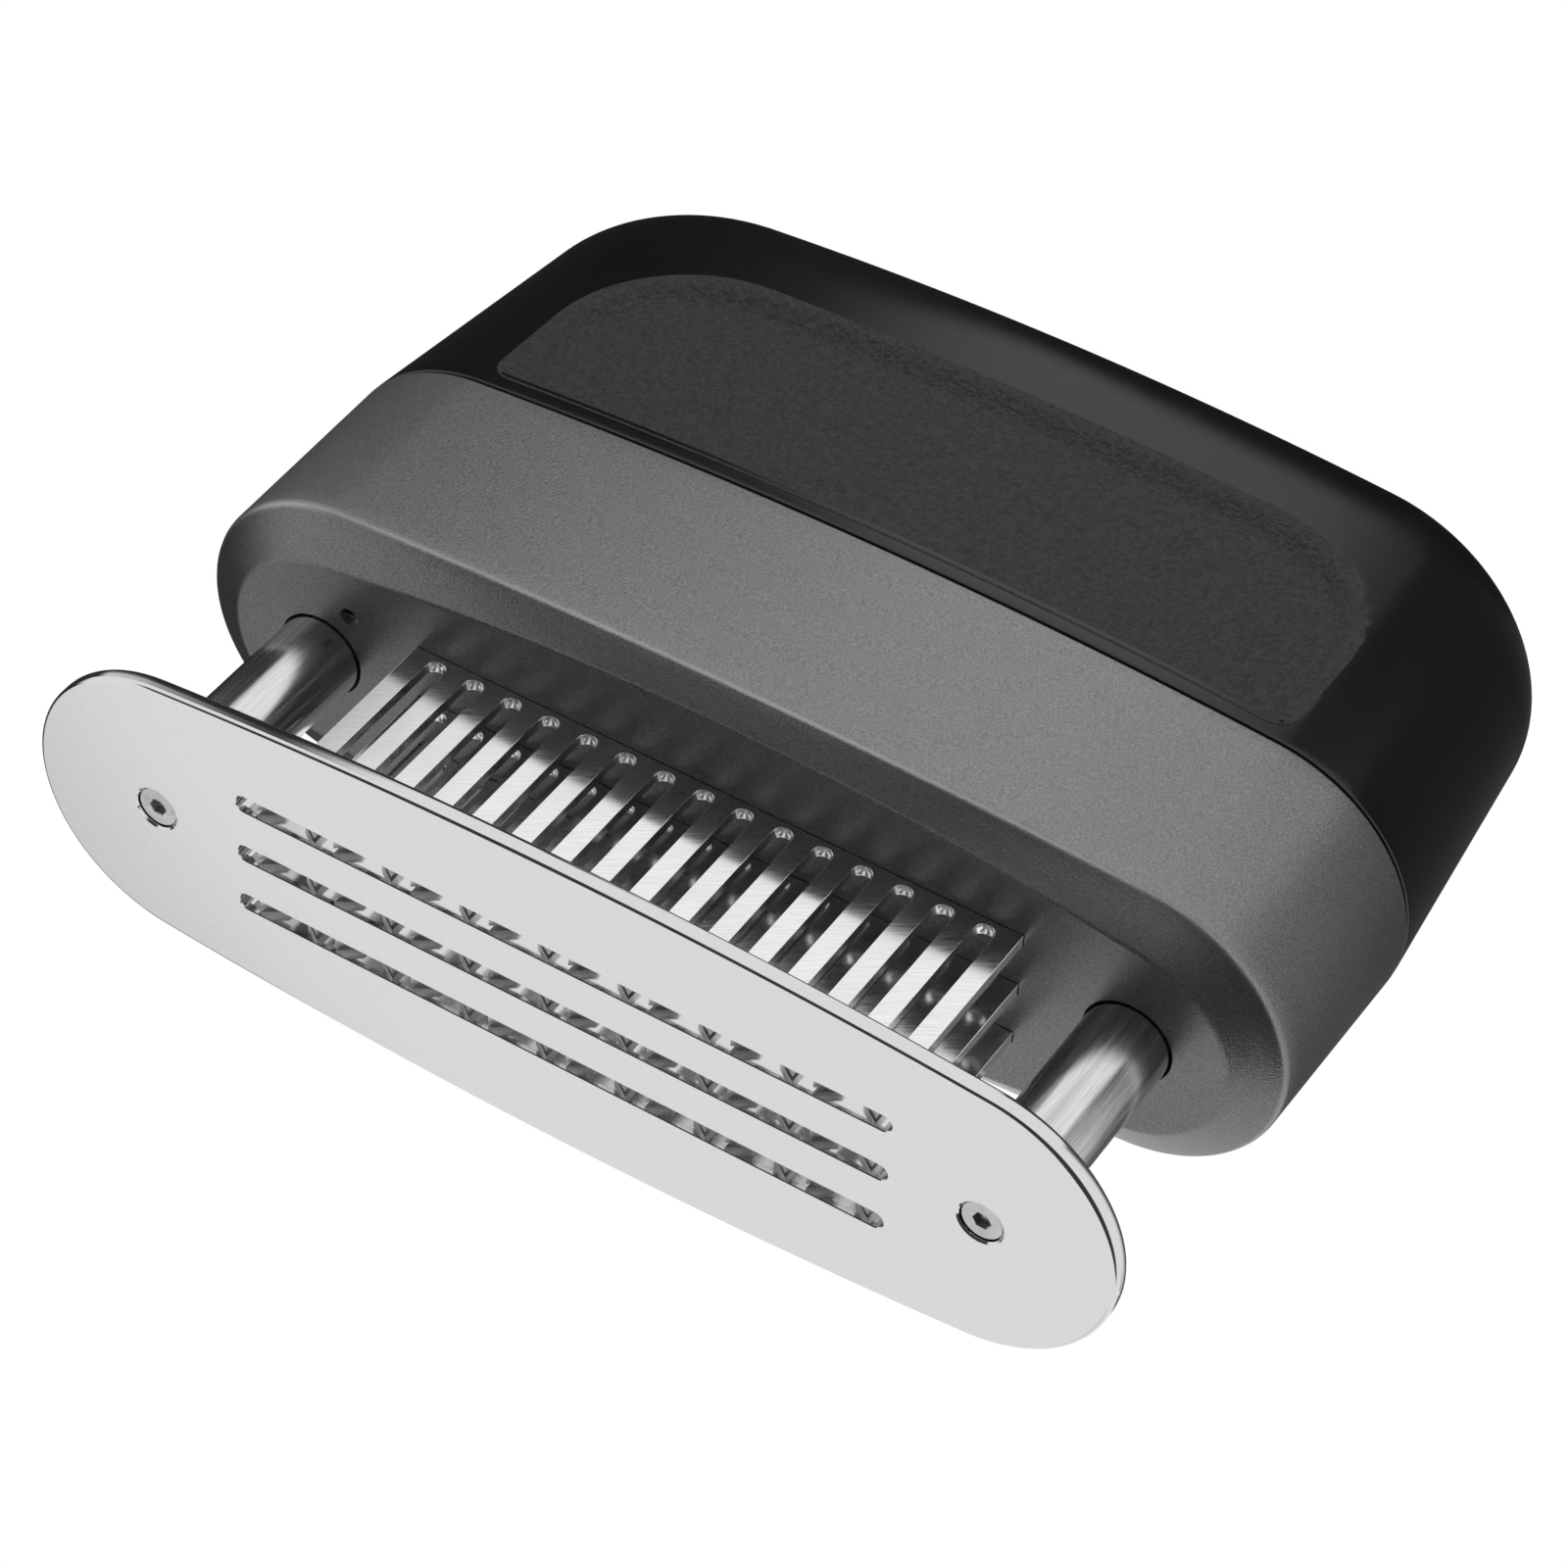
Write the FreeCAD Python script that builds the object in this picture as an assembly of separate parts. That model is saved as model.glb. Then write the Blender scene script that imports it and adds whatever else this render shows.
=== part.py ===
import FreeCAD, Part
import math
import os

os.makedirs("parts", exist_ok=True)

# Blade meat tenderizer. Millimetres, +Z up, origin at the middle of the guard plate's resting face.
# X runs along the tool, -Y is the front, where the user's fingers hold the grip.

# Housing seam: the oval that the base and the handle share
seam_half_length = 77.0
seam_half_width = 24.3
seam_bow = 2.4

# Base shell, drawn in from the seam down to a chamfered floor
base_height = 32.8
skirt_end_taper = 0.5
skirt_side_taper = 1.4
skirt_bow = 2.0
chamfer_height = 3.5
chamfer_end_run = 6.0
chamfer_side_run = 3.2
floor_bow = 5.2
floor_gap = 30.9
floor_thickness = 2.5
base_wall = 2.2
base_foot_wall = 4.0

# Guard plate, its end overhang measured from the posts
plate_thickness = 2.6
plate_width = 45.0
plate_bow = 2.7
plate_overhang = 17.5
plate_edge = 0.3
slot_end_clearance = 2.495
slot_side_clearance = 0.4
row_pitch = 8.2

# Plate screws and handle screws, low head with a hex socket
screw_diameter = 3.0
screw_hole_clearance = 0.1
screw_head_diameter = 5.5
screw_head_height = 1.2
screw_head_sink = 0.5
screw_head_clearance = 0.45
socket_width = 2.0
socket_depth = 0.8
plate_screw_length = 9.0
handle_screw_length = 12.0
handle_screw_inset = 9.5
handle_screw_margin = 11.3

# Guide posts, set in from the ends of the floor
post_inset = 13.0
post_diameter = 11.4
post_hole_clearance = 0.3
post_plug = 9.4
post_flange_reach = 1.6
post_flange_height = 2.0
plate_travel = 30.0
travel_margin = 3.4

# Blade pack, which fills the length between the posts
post_to_comb = 14.645
tine_count = 16
tine_width = 2.76
blade_thickness = 1.6
root_drop = 0.9
tip_height = 0.8
tip_rise = 2.0
spine_height = 14.0
shoulder = 2.0
pack_clearance = 0.1
clamp_bar_thickness = 4.0
tie_count = 3
tie_end_margin = 12.855
tie_diameter = 3.0
tie_hole_clearance = 0.1
tie_head_diameter = 5.5
tie_head_height = 2.0
tie_nut_width = 5.5
tie_nut_height = 2.4

# Bearings and chassis
bush_wall = 1.75
bush_running_clearance = 0.05
bush_seat_clearance = 0.05
bush_flange_reach = 0.7
bush_flange_height = 2.0
bush_lip = 0.5
boss_wall = 5.0
chassis_thickness = 2.5
chassis_side_clearance = 0.75
bumper_thickness = 1.5
bumper_bore_clearance = 0.5
rest_clearance = 0.1

# Two small screws that hold the chassis plate to the base, beside the posts
base_screw_diameter = 2.0
base_screw_head_diameter = 3.0
base_screw_head_height = 1.2
base_screw_sink = 0.8
base_screw_clearance = 0.2
base_screw_slot_width = 0.5
base_screw_slot_depth = 0.6
base_screw_inset = 4.4
base_screw_y = 8.4

# Springs and their upper seats
spring_diameter = 8.0
spring_wire = 1.0
spring_turns = 22
spring_side_clearance = 0.3
cap_pin_clearance = 0.2
cap_pin_length = 6.0
cap_diameter = 14.0
cap_thickness = 2.0
cap_spigot_diameter = 4.0
cap_spigot_length = 5.0
cap_boss_margin = 0.5

# Handle
gasket_thickness = 0.4
gasket_inset = 0.4
gasket_width = 1.6
handle_rise = 53.3
handle_end_draft = 0.105
handle_side_draft = 0.06
handle_rounding = 9.0
handle_wall = 3.4
column_diameter = 8.0
column_root = 0.7
recess_end_margin = 20.0
recess_low_margin = 2.1
recess_high_margin = 15.7
recess_foot_radius = 3.0
recess_shoulder_radius = 20.0
recess_depth = 2.2
grip_sink = 0.9
grip_gap = 0.15

# Heights that follow from the sizes above
floor_height = plate_thickness + floor_gap
floor_top = floor_height + floor_thickness
bend_height = floor_height + chamfer_height
seam_height = floor_height + base_height
spine_top = floor_top + spine_height
tie_height = floor_top + spine_height / 2
boss_top = spine_top - bush_flange_height
chassis_top = spine_top + chassis_thickness
bush_top = chassis_top + bush_lip
bumper_top = bush_top + bumper_thickness
flange_bottom = bumper_top + rest_clearance
flange_top = flange_bottom + post_flange_height
spring_foot = plate_thickness + post_plug
spring_seat = flange_top + plate_travel + travel_margin
cap_top = spring_seat + cap_thickness
handle_bottom = seam_height + gasket_thickness
handle_top = handle_bottom + handle_rise

# Lengths and bores that follow from the sizes above
seam_end_radius = seam_half_width - seam_bow
skirt_half_length = seam_half_length - skirt_end_taper
skirt_half_width = seam_half_width - skirt_side_taper
skirt_end_radius = skirt_half_width - skirt_bow
floor_half_length = skirt_half_length - chamfer_end_run
floor_half_width = skirt_half_width - chamfer_side_run
floor_end_radius = floor_half_width - floor_bow
post_x = floor_half_length - post_inset
plate_half_length = post_x + plate_overhang
plate_end_radius = plate_width / 2 - plate_bow
comb_length = 2 * (post_x - post_to_comb)
spine_length = comb_length + 2 * shoulder
tine_pitch = (comb_length - tine_width) / (tine_count - 1)
tie_spacing = (spine_length - 2 * tie_end_margin) / (tie_count - 1)
slot_length = comb_length + 2 * slot_end_clearance
slot_width = blade_thickness + 2 * slot_side_clearance
post_bore = spring_diameter + 2 * spring_side_clearance
bush_outer_diameter = post_diameter + 2 * (bush_running_clearance + bush_wall)
screw_hole = screw_diameter + 2 * screw_hole_clearance
tie_hole = tie_diameter + 2 * tie_hole_clearance
base_screw_hole = base_screw_diameter + 2 * base_screw_clearance
bush_socket = bush_outer_diameter + 2 * bush_seat_clearance
handle_screw_x = post_x - handle_screw_inset
handle_screw_y = seam_half_width - handle_screw_margin
base_screw_x = post_x - base_screw_inset
recess_bottom_height = handle_bottom + recess_low_margin
recess_top_height = handle_top - recess_high_margin
recess_half_length = seam_half_length - recess_end_margin
row_heights = {"front": -row_pitch, "middle": 0.0, "rear": row_pitch}
sides = {"left": -1, "right": 1}


def save(name, shape):
    shape.exportStep("parts/" + name + ".step")
    print(name, "solids", len(shape.Solids), "valid", shape.isValid(), "volume", round(shape.Volume, 1))


def cylinder(diameter, low, high, x=0.0, y=0.0):
    return Part.makeCylinder(diameter / 2, high - low, FreeCAD.Vector(x, y, low))


def block(length, width, low, high, x=0.0, y=0.0):
    corner = FreeCAD.Vector(x - length / 2, y - width / 2, low)
    return Part.makeBox(length, width, high - low, corner)


def cross_cylinder(diameter, front, back, x, z):
    return Part.makeCylinder(diameter / 2, back - front, FreeCAD.Vector(x, front, z), FreeCAD.Vector(0, 1, 0))


def hexagon(width, low, high, x=0.0, y=0.0):
    radius = width / math.sqrt(3)
    corners = []
    for index in range(7):
        angle = math.radians(60 * index)
        corners.append(FreeCAD.Vector(x + radius * math.cos(angle), y + radius * math.sin(angle), low))
    face = Part.Face(Part.makePolygon(corners))
    return face.extrude(FreeCAD.Vector(0, 0, high - low))


def oval(half_length, half_width, end_radius, height, inset=0.0):
    # Four tangent arcs: two small ones at the ends and two long ones along the sides.
    reach = half_length - end_radius
    side_radius = (reach ** 2 + half_width ** 2 - end_radius ** 2) / (2 * (half_width - end_radius))
    turn = math.atan2(side_radius - half_width, reach)
    end = end_radius - inset
    tangent_x = reach + end * math.cos(turn)
    tangent_y = end * math.sin(turn)
    low_right = FreeCAD.Vector(tangent_x, -tangent_y, height)
    high_right = FreeCAD.Vector(tangent_x, tangent_y, height)
    high_left = FreeCAD.Vector(-tangent_x, tangent_y, height)
    low_left = FreeCAD.Vector(-tangent_x, -tangent_y, height)
    right = FreeCAD.Vector(half_length - inset, 0, height)
    back = FreeCAD.Vector(0, half_width - inset, height)
    left = FreeCAD.Vector(inset - half_length, 0, height)
    front = FreeCAD.Vector(0, inset - half_width, height)
    arcs = [
        Part.Arc(low_right, right, high_right).toShape(),
        Part.Arc(high_right, back, high_left).toShape(),
        Part.Arc(high_left, left, low_left).toShape(),
        Part.Arc(low_left, front, low_right).toShape(),
    ]
    return Part.Wire(arcs)


def slab(wire, thickness):
    return Part.Face(wire).extrude(FreeCAD.Vector(0, 0, thickness))


def base_cavity_section(height, clearance=0.0):
    # The base's inside widens from the floor up to the seam.
    share = (height - floor_top) / (seam_height - floor_top)
    half_length = skirt_half_length + share * (seam_half_length - skirt_half_length)
    half_width = skirt_half_width + share * (seam_half_width - skirt_half_width)
    end_radius = skirt_end_radius + share * (seam_end_radius - skirt_end_radius)
    wall = base_foot_wall + share * (base_wall - base_foot_wall)
    return oval(half_length, half_width, end_radius, height, wall + clearance)


def handle_section(height, inset):
    # The ends and the long sides lean in as the handle rises.
    rise = height - seam_height
    half_length = seam_half_length - handle_end_draft * rise - inset
    half_width = seam_half_width - handle_side_draft * rise - inset
    return oval(half_length, half_width, half_width * seam_end_radius / seam_half_width, height)


def handle_body(low, inset):
    top = handle_top - inset
    body = Part.makeLoft([handle_section(low, inset), handle_section(top, inset)], True, True)
    rim = [edge for edge in body.Edges if min(corner.Z for corner in edge.Vertexes) > (low + top) / 2]
    return body.makeFillet(handle_rounding - inset, rim)


def recess_prism(gap):
    # The grip's outline on the front and rear faces, run right through along Y.
    low = recess_bottom_height + gap
    high = recess_top_height - gap
    half = recess_half_length - gap
    foot = recess_foot_radius
    crown = recess_shoulder_radius
    slant = math.sqrt(0.5)
    far = 2 * seam_half_width

    def at(x, z):
        return FreeCAD.Vector(x, -far, z)

    def half_outline(side):
        foot_middle = at(side * (half - foot + foot * slant), low + foot - foot * slant)
        crown_middle = at(side * (half - crown + crown * slant), high - crown + crown * slant)
        foot_arc = Part.Arc(at(side * (half - foot), low), foot_middle, at(side * half, low + foot))
        flank = Part.LineSegment(at(side * half, low + foot), at(side * half, high - crown))
        crown_arc = Part.Arc(at(side * half, high - crown), crown_middle, at(side * (half - crown), high))
        return [foot_arc.toShape(), flank.toShape(), crown_arc.toShape()]

    bottom = Part.LineSegment(at(foot - half, low), at(half - foot, low)).toShape()
    top = Part.LineSegment(at(half - crown, high), at(crown - half, high)).toShape()
    edges = [bottom] + half_outline(1) + [top] + half_outline(-1)
    wire = Part.Wire(Part.__sortEdges__(edges))
    return Part.Face(wire).extrude(FreeCAD.Vector(0, 2 * far, 0))


def half_space(sign):
    reach = 2 * handle_top
    return block(reach, reach, 0, reach, 0, sign * reach / 2)


def make_press_plate():
    plate = slab(oval(plate_half_length, plate_width / 2, plate_end_radius, 0), plate_thickness)
    rims = [edge for edge in plate.Edges if edge.BoundBox.ZLength < plate_edge]
    plate = plate.makeChamfer(plate_edge, rims)
    cutters = []
    for row in row_heights.values():
        cutters.append(block(slot_length - slot_width, slot_width, 0, plate_thickness, 0, row))
        for side in sides.values():
            end = side * (slot_length - slot_width) / 2
            cutters.append(cylinder(slot_width, 0, plate_thickness, end, row))
    seat = screw_head_height + screw_head_sink
    for side in sides.values():
        cutters.append(cylinder(screw_hole, 0, plate_thickness, side * post_x))
        cutters.append(cylinder(screw_head_diameter + 2 * screw_head_clearance, 0, seat, side * post_x))
    return plate.cut(cutters)


def make_plate_screw(x):
    seat = screw_head_height + screw_head_sink
    head = cylinder(screw_head_diameter, screw_head_sink, seat, x)
    shank = cylinder(screw_diameter, seat, seat + plate_screw_length, x)
    socket = hexagon(socket_width, screw_head_sink, screw_head_sink + socket_depth, x)
    return head.fuse(shank).cut(socket)


def make_guide_post(x):
    body = cylinder(post_diameter, plate_thickness, flange_top, x)
    flange = cylinder(post_diameter + 2 * post_flange_reach, flange_bottom, flange_top, x)
    bore = cylinder(post_bore, spring_foot, flange_top, x)
    thread = cylinder(screw_hole, plate_thickness, spring_foot, x)
    return body.fuse(flange).cut([bore, thread]).removeSplitter()


def base_screw_places():
    return [(-base_screw_x, -base_screw_y), (base_screw_x, base_screw_y)]


def make_base_shell():
    foot = oval(floor_half_length, floor_half_width, floor_end_radius, floor_height)
    bend = oval(skirt_half_length, skirt_half_width, skirt_end_radius, bend_height)
    seam = oval(seam_half_length, seam_half_width, seam_end_radius, seam_height)
    outside = Part.makeLoft([foot, bend], True, True).fuse(Part.makeLoft([bend, seam], True, True))
    cavity = Part.makeLoft([base_cavity_section(floor_top), base_cavity_section(seam_height)], True, True)
    shell = outside.cut(cavity)
    boss = bush_outer_diameter + 2 * boss_wall
    for side in sides.values():
        shell = shell.fuse(cylinder(boss, floor_top, boss_top, side * post_x).common(outside))
    cutters = []
    for side in sides.values():
        hole = post_diameter + 2 * post_hole_clearance
        cutters.append(cylinder(hole, floor_height, floor_top, side * post_x))
        cutters.append(cylinder(bush_socket, floor_top, boss_top, side * post_x))
    for row in row_heights.values():
        length = comb_length + 2 * pack_clearance
        width = blade_thickness + 2 * pack_clearance
        cutters.append(block(length, width, floor_height, floor_top, 0, row))
    for x, y in base_screw_places():
        head = base_screw_head_diameter + 2 * base_screw_clearance
        seat = floor_height + base_screw_sink + base_screw_head_height
        cutters.append(cylinder(head, floor_height, seat, x, y))
        cutters.append(cylinder(base_screw_hole, seat, boss_top, x, y))
    return shell.cut(cutters).removeSplitter()


def make_base_screw(x, y):
    head_low = floor_height + base_screw_sink
    seat = head_low + base_screw_head_height
    head = cylinder(base_screw_head_diameter, head_low, seat, x, y)
    slot_top = head_low + base_screw_slot_depth
    slot = block(base_screw_head_diameter, base_screw_slot_width, head_low, slot_top, x, y)
    shank = cylinder(base_screw_diameter, seat, chassis_top, x, y)
    return head.cut(slot).fuse(shank)


def tie_places():
    return [(index - (tie_count - 1) / 2) * tie_spacing for index in range(tie_count)]


def tie_holes():
    span = 2 * (row_pitch + clamp_bar_thickness + blade_thickness)
    return [cross_cylinder(tie_hole, -span, span, x, tie_height) for x in tie_places()]


def make_blade_comb(row):
    gap = tine_pitch - tine_width
    root = floor_height - root_drop - gap / 2
    front = row - blade_thickness / 2
    back = row + blade_thickness / 2
    first = -comb_length / 2
    web = block(comb_length, blade_thickness, root, floor_top, 0, row)
    spine = block(spine_length, blade_thickness, floor_top, spine_top, 0, row)
    tines = []
    for index in range(tine_count):
        left = first + index * tine_pitch
        right = left + tine_width
        left_tip = tip_height if index % 2 == 0 else tip_height + tip_rise
        right_tip = tip_height + tip_rise if index % 2 == 0 else tip_height
        corners = [(left, left_tip), (right, right_tip), (right, root), (left, root), (left, left_tip)]
        points = [FreeCAD.Vector(x, front, z) for x, z in corners]
        tines.append(Part.Face(Part.makePolygon(points)).extrude(FreeCAD.Vector(0, blade_thickness, 0)))
    comb = spine.fuse([web] + tines).removeSplitter()
    cutters = tie_holes()
    for index in range(tine_count - 1):
        middle = first + tine_width + gap / 2 + index * tine_pitch
        cutters.append(cross_cylinder(gap, front, back, middle, root))
    return comb.cut(cutters)


def make_pack_bar(near, far):
    bar = block(spine_length, far - near, floor_top, spine_top, 0, (near + far) / 2)
    return bar.cut(tie_holes())


def pack_edge():
    return row_pitch + blade_thickness / 2 + clamp_bar_thickness


def make_tie_bolt(x):
    edge = pack_edge()
    head = cross_cylinder(tie_head_diameter, -edge - tie_head_height, -edge, x, tie_height)
    shank = cross_cylinder(tie_diameter, -edge, edge + tie_nut_height, x, tie_height)
    return head.fuse(shank)


def make_tie_nut(x):
    nut = hexagon(tie_nut_width, 0, tie_nut_height)
    nut.rotate(FreeCAD.Vector(0, 0, 0), FreeCAD.Vector(1, 0, 0), -90)
    nut.translate(FreeCAD.Vector(x, pack_edge(), tie_height))
    return nut.cut(cross_cylinder(tie_hole, pack_edge(), pack_edge() + tie_nut_height, x, tie_height))


def make_post_bush(x):
    body = cylinder(bush_outer_diameter, floor_top, bush_top, x)
    flange = cylinder(bush_outer_diameter + 2 * bush_flange_reach, boss_top, spine_top, x)
    bore = cylinder(post_diameter + 2 * bush_running_clearance, floor_top, bush_top, x)
    return body.fuse(flange).cut(bore).removeSplitter()


def handle_screw_places():
    return [(side * handle_screw_x, face * handle_screw_y) for side in (-1, 1) for face in (-1, 1)]


def make_chassis_plate():
    plate = slab(base_cavity_section(spine_top, chassis_side_clearance), chassis_thickness)
    cutters = []
    for side in sides.values():
        cutters.append(cylinder(bush_socket, spine_top, chassis_top, side * post_x))
    for x, y in handle_screw_places():
        cutters.append(cylinder(screw_hole, spine_top, chassis_top, x, y))
    for x, y in base_screw_places():
        cutters.append(cylinder(base_screw_hole, spine_top, chassis_top, x, y))
    return plate.cut(cutters)


def make_handle_screw(x, y):
    head_low = spine_top - screw_head_height
    head = cylinder(screw_head_diameter, head_low, spine_top, x, y)
    shank = cylinder(screw_diameter, spine_top, chassis_top + handle_screw_length, x, y)
    socket = hexagon(socket_width, head_low, head_low + socket_depth, x, y)
    return head.fuse(shank).cut(socket)


def make_bumper(x):
    ring = cylinder(bush_outer_diameter, bush_top, bumper_top, x)
    return ring.cut(cylinder(post_diameter + 2 * bumper_bore_clearance, bush_top, bumper_top, x))


def make_spring_cap(x):
    disc = cylinder(cap_diameter, spring_seat, cap_top, x)
    pin_diameter = spring_diameter - 2 * (spring_wire + cap_pin_clearance)
    pin = cylinder(pin_diameter, spring_seat - cap_pin_length, spring_seat, x)
    spigot = cylinder(cap_spigot_diameter, cap_top, cap_top + cap_spigot_length, x)
    return disc.fuse([pin, spigot]).removeSplitter()


def make_return_spring(x):
    # One wire wound at a steady pitch, with both ends ground flat.
    radius = (spring_diameter - spring_wire) / 2
    length = spring_seat - spring_foot
    pitch = length / spring_turns
    path = Part.makeHelix(pitch, length, radius)
    slope = FreeCAD.Vector(0, radius, pitch / (2 * math.pi))
    circle = Part.Circle(FreeCAD.Vector(radius, 0, 0), slope, spring_wire / 2).toShape()
    coil = Part.Wire(path.Edges).makePipeShell([Part.Wire([circle])], True, True)
    coil.translate(FreeCAD.Vector(x, 0, spring_foot))
    keep = cylinder(spring_diameter + spring_wire, spring_foot, spring_seat, x)
    return coil.common(keep)


def make_seam_gasket():
    outer = oval(seam_half_length, seam_half_width, seam_end_radius, seam_height, gasket_inset)
    inner = oval(seam_half_length, seam_half_width, seam_end_radius, seam_height, gasket_inset + gasket_width)
    return slab(outer, gasket_thickness).cut(slab(inner, gasket_thickness))


def make_handle_shell(outside, floor_body):
    cavity = handle_body(handle_bottom, handle_wall)
    shell = outside.cut(cavity)
    posts = []
    for x, y in handle_screw_places():
        posts.append(cylinder(column_diameter, chassis_top, handle_top, x, y))
    for side in sides.values():
        posts.append(cylinder(cap_diameter + 2 * cap_boss_margin, cap_top, handle_top, side * post_x))
    inner_mass = handle_body(handle_bottom, handle_wall - column_root)
    skirt = block(4 * seam_half_length, 4 * seam_half_width, chassis_top, handle_bottom)
    room = inner_mass.fuse(skirt)
    shell = shell.fuse([post.common(room) for post in posts])
    recess = recess_prism(0).cut(floor_body)
    cutters = [recess]
    for x, y in handle_screw_places():
        cutters.append(cylinder(screw_hole, chassis_top, chassis_top + handle_screw_length, x, y))
    for side in sides.values():
        hole = cap_spigot_diameter + 2 * screw_hole_clearance
        cutters.append(cylinder(hole, cap_top, cap_top + cap_spigot_length, side * post_x))
    return shell.cut(cutters)


def make_grip_pad(sign, floor_body):
    skin = handle_body(handle_bottom, grip_sink)
    pad = recess_prism(grip_gap).common(skin).cut(floor_body)
    return pad.common(half_space(sign))


def main():
    save("press_plate", make_press_plate())
    save("plate_screws", Part.makeCompound([make_plate_screw(side * post_x) for side in sides.values()]))
    for name, side in sides.items():
        x = side * post_x
        save("guide_post_" + name, make_guide_post(x))
        save("post_bush_" + name, make_post_bush(x))
        save("bumper_" + name, make_bumper(x))
        save("spring_cap_" + name, make_spring_cap(x))
        save("return_spring_" + name, make_return_spring(x))
    for name, row in row_heights.items():
        save("blade_comb_" + name, make_blade_comb(row))
    half = blade_thickness / 2
    save("comb_spacer_front", make_pack_bar(half - row_pitch, -half))
    save("comb_spacer_rear", make_pack_bar(half, row_pitch - half))
    save("clamp_bar_front", make_pack_bar(-pack_edge(), -row_pitch - half))
    save("clamp_bar_rear", make_pack_bar(row_pitch + half, pack_edge()))
    save("tie_bolts", Part.makeCompound([make_tie_bolt(x) for x in tie_places()]))
    save("tie_nuts", Part.makeCompound([make_tie_nut(x) for x in tie_places()]))
    save("base_shell", make_base_shell())
    save("base_screws", Part.makeCompound([make_base_screw(x, y) for x, y in base_screw_places()]))
    save("chassis_plate", make_chassis_plate())
    save("handle_screws", Part.makeCompound([make_handle_screw(x, y) for x, y in handle_screw_places()]))
    save("seam_gasket", make_seam_gasket())
    outside = handle_body(handle_bottom, 0.0)
    floor_body = handle_body(handle_bottom, recess_depth)
    save("handle_shell", make_handle_shell(outside, floor_body))
    save("grip_pad_front", make_grip_pad(-1, floor_body))
    save("grip_pad_rear", make_grip_pad(1, floor_body))


main()
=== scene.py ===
import bpy
import bmesh
import math
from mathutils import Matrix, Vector


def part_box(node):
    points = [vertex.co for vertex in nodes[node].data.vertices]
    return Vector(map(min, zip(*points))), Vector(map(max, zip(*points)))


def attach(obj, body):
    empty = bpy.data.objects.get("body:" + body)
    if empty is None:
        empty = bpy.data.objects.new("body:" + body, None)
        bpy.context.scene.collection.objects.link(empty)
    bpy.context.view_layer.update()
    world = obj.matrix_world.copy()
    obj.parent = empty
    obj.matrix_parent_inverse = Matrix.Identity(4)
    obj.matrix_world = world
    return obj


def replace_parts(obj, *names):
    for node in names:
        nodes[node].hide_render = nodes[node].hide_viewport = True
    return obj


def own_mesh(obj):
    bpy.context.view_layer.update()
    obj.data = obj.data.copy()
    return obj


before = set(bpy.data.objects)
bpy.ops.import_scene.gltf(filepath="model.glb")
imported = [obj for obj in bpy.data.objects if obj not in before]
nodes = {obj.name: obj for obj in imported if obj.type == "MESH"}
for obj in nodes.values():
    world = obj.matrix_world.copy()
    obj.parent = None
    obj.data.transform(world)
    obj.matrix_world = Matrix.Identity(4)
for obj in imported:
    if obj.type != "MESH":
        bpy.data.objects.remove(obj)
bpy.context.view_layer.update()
mm = 0.001
print("frame loaded:", len(nodes), "nodes")


# Curves and rings
# A ring is four tangent arcs, written as (half length, half width, end radius, height) in millimetres.

endShare = 0.42   # share of a ring's points that lie on its two end arcs


def sideArc(ring):
    # reach to the end arcs' centres, radius of the side arcs, and the angle where the two kinds meet
    halfLength, halfWidth, endRadius = ring[:3]
    reach = halfLength - endRadius
    radius = (reach ** 2 + halfWidth ** 2 - endRadius ** 2) / (2 * (halfWidth - endRadius))
    return reach, radius, math.atan2(radius - halfWidth, reach)


def ringPoint(ring, u):
    # the ring's point at a share u of the way round it
    halfWidth, endRadius, height = ring[1:]
    reach, sideRadius, turn = sideArc(ring)
    quarter, part = divmod((u % 1.0) * 4, 1)
    if quarter % 2:
        part = 1 - part
    if part < endShare:
        angle = turn * part / endShare
        x, y = reach + endRadius * math.cos(angle), endRadius * math.sin(angle)
    else:
        angle = turn + (math.pi / 2 - turn) * (part - endShare) / (1 - endShare)
        x, y = sideRadius * math.cos(angle), sideRadius * math.sin(angle) - (sideRadius - halfWidth)
    if quarter in (1, 2):
        x = -x
    if quarter in (2, 3):
        y = -y
    return Vector((x, y, height))


def ringYAt(ring, x):
    # half width of the ring at a given place along its length
    halfWidth, endRadius = ring[1:3]
    reach, sideRadius, turn = sideArc(ring)
    if abs(x) < reach + endRadius * math.cos(turn):
        return math.sqrt(sideRadius ** 2 - x * x) - (sideRadius - halfWidth)
    return math.sqrt(max(0.0, endRadius ** 2 - (abs(x) - reach) ** 2))


def inset(ring, amount, height=None):
    newHeight = ring[3] if height is None else height
    return (ring[0] - amount, ring[1] - amount, ring[2] - amount, newHeight)


def blendRings(first, second, share):
    return tuple(a + (b - a) * share for a, b in zip(first, second))


def ringDistance(first, second):
    return math.dist(first[:2] + first[3:], second[:2] + second[3:])


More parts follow.
